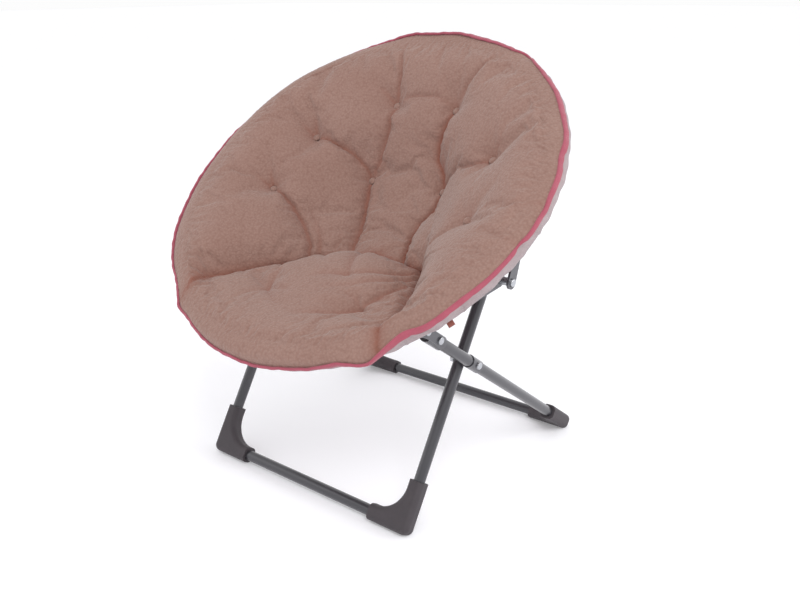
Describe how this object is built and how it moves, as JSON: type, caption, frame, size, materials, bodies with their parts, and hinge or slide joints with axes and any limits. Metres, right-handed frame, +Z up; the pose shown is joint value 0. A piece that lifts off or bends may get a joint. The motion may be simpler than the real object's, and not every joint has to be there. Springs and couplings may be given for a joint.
{
  "type": "folding papasan chair",
  "caption": "Folding moon chair: crossed tube leg frames, a round hoop hinged at its sides, and a tufted padded dish.",
  "frame": {"origin": "on the floor, at the middle of the bounding box's bottom", "axes": "+Z up, -Y towards the front of the seat, +X across the chair to the sitter's left hand side seen from the front"},
  "size_m": [0.8266, 0.7105, 0.851],
  "materials": {
    "frame_paint": "satin",
    "fitting_paint": "satin",
    "zinc": "satin",
    "foot_plastic": "matte",
    "plug_plastic": "matte",
    "fleece": "matte",
    "pocket_cloth": "matte",
    "binding_tape": "matte",
    "tie_tape": "matte"
  },
  "bodies": {
    "front_legs": {"front_leg_frame": "frame_paint", "front_foot_left": "foot_plastic", "front_foot_right": "foot_plastic", "front_leg_plug_left": "plug_plastic", "front_leg_plug_right": "plug_plastic", "pivot_spacer_left": "foot_plastic", "pivot_spacer_right": "foot_plastic", "pivot_bolt_left": "zinc", "pivot_bolt_right": "zinc", "pivot_nut_left": "zinc", "pivot_nut_right": "zinc"},
    "rear_legs": {"rear_leg_frame": "frame_paint", "rear_foot_left": "foot_plastic", "rear_foot_right": "foot_plastic", "rear_leg_plug_left": "plug_plastic", "rear_leg_plug_right": "plug_plastic", "pivot_collar_left": "fitting_paint", "pivot_collar_right": "fitting_paint", "leg_fitting_left": "fitting_paint", "leg_fitting_right": "fitting_paint", "fitting_bolt_left": "zinc", "fitting_bolt_right": "zinc", "tongue_rivet_left": "zinc", "tongue_rivet_right": "zinc"},
    "back_hoop": {"back_hoop_tube": "frame_paint", "back_hoop_plug_left": "plug_plastic", "back_hoop_plug_right": "plug_plastic", "rear_bracket_left": "fitting_paint", "rear_bracket_right": "fitting_paint", "rear_rivet_left": "zinc", "rear_rivet_right": "zinc", "back_hinge_arm_left": "fitting_paint", "back_hinge_arm_right": "fitting_paint", "hinge_pin_left": "zinc", "hinge_pin_right": "zinc", "back_pad": "fleece", "tuft_buttons": "fleece", "back_sleeve_left": "pocket_cloth", "back_sleeve_right": "pocket_cloth", "top_sleeve": "pocket_cloth", "back_binding": "binding_tape"},
    "seat_hoop": {"seat_hoop_tube": "frame_paint", "seat_hoop_plug_left": "plug_plastic", "seat_hoop_plug_right": "plug_plastic", "front_lug_left": "fitting_paint", "front_lug_right": "fitting_paint", "lug_bolt_left": "zinc", "lug_bolt_right": "zinc", "seat_hinge_arm_left": "fitting_paint", "seat_hinge_arm_right": "fitting_paint", "seat_pad": "fleece", "seat_sleeve_left": "pocket_cloth", "seat_sleeve_right": "pocket_cloth", "front_sleeve": "pocket_cloth", "seat_binding": "binding_tape", "tie_tabs": "tie_tape"}
  },
  "joints": [
    {"name": "fold", "type": "hinge", "parent": "front_legs", "child": "rear_legs", "pos_m": [0, -0.0356, 0.28987], "axis": [-1, 0, 0], "range_deg": [0, 74], "deforming": ["back_pad", "seat_pad", "tuft_buttons"]},
    {"name": "back_tilt", "type": "hinge", "parent": "front_legs", "child": "back_hoop", "pos_m": [0, 0.24915, 0.74577], "axis": [1, 0, 0], "range_deg": [0, 28.18]},
    {"name": "seat_fold", "type": "hinge", "parent": "back_hoop", "child": "seat_hoop", "pos_m": [0, -0.09277, 0.48802], "axis": [-1, 0, 0], "range_deg": [0, 137.43]}
  ],
  "couplings": [
    {"joint": "back_tilt", "follows": "fold", "ratio": 0.3807},
    {"joint": "seat_fold", "follows": "fold", "ratio": 1.8571}
  ]
}
